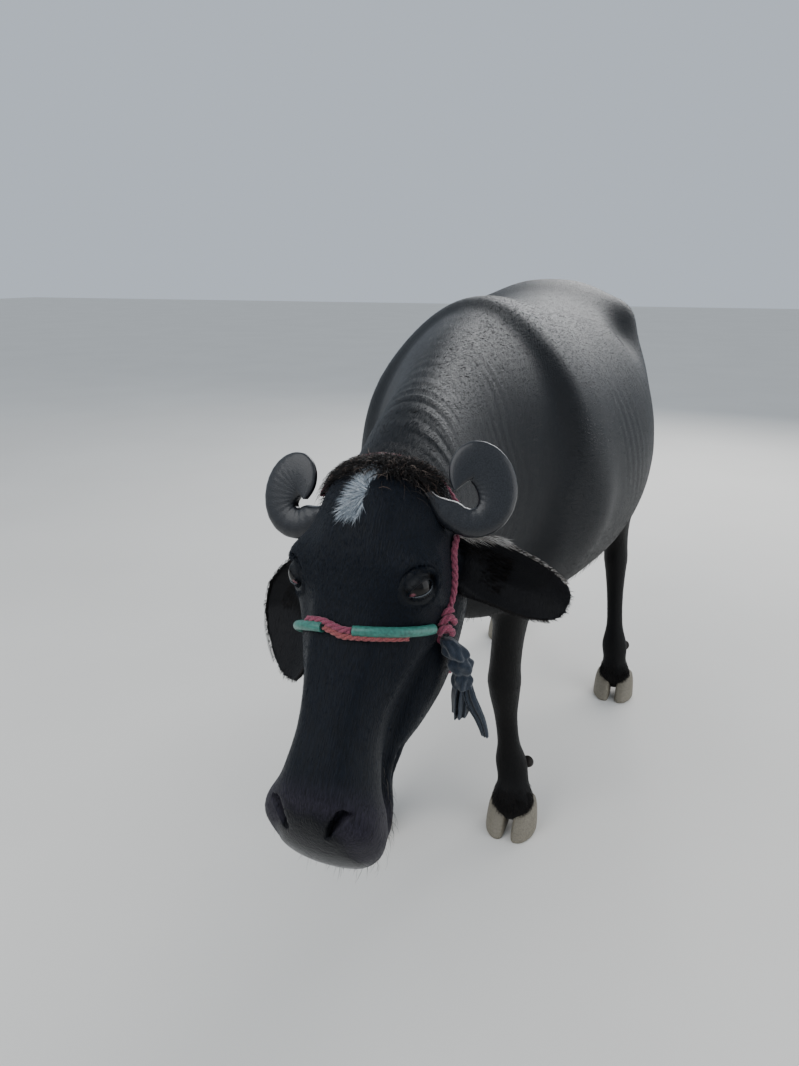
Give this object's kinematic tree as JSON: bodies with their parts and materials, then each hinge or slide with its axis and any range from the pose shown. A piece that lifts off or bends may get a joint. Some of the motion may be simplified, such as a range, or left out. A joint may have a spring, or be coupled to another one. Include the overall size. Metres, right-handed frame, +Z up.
{
  "type": "water buffalo",
  "caption": "Black water buffalo cow standing with her head lowered, curled flat horns, drooping ears, white forehead star, rope and hose halter.",
  "frame": {"origin": "centre of the overall box, on the floor", "axes": "+X to the animal's left, +Y from head to rump, +Z up"},
  "size_m": [0.7472, 2.351, 1.359],
  "materials": {
    "hide": "short black hair over bare grey skin",
    "horn": "dark polished horn",
    "claw": "pale grey-brown hoof horn",
    "eye": "wet dark eye",
    "hose": "teal garden hose",
    "red_rope": "twisted red and purple rope",
    "orange_rope": "twisted orange-red cord",
    "navy_cloth": "faded navy cloth"
  },
  "bodies": {
    "root": {"torso": "hide", "neck": "hide", "head": "hide", "ear_left": "hide", "ear_right": "hide", "tail": "hide", "udder": "hide", "eye_left": "eye", "eye_right": "eye", "horn_left": "horn", "horn_right": "horn", "halter_knot_left": "red_rope", "halter_knot_right": "red_rope", "halter_hose_long": "hose", "halter_hose_short": "hose", "halter_nose_rope": "red_rope", "halter_nose_strand": "orange_rope", "halter_chin_rope": "red_rope", "halter_headstall": "red_rope", "cloth_knot": "navy_cloth", "cloth_tails": "navy_cloth", "leg_fore_left": "hide", "claw_fore_left_outer": "claw", "dewclaw_fore_left_outer": "claw", "claw_fore_left_inner": "claw", "dewclaw_fore_left_inner": "claw", "leg_hind_left": "hide", "claw_hind_left_outer": "claw", "dewclaw_hind_left_outer": "claw", "claw_hind_left_inner": "claw", "dewclaw_hind_left_inner": "claw", "leg_fore_right": "hide", "claw_fore_right_outer": "claw", "dewclaw_fore_right_outer": "claw", "claw_fore_right_inner": "claw", "dewclaw_fore_right_inner": "claw", "leg_hind_right": "hide", "claw_hind_right_outer": "claw", "dewclaw_hind_right_outer": "claw", "claw_hind_right_inner": "claw", "dewclaw_hind_right_inner": "claw"}
  },
  "joints": []
}
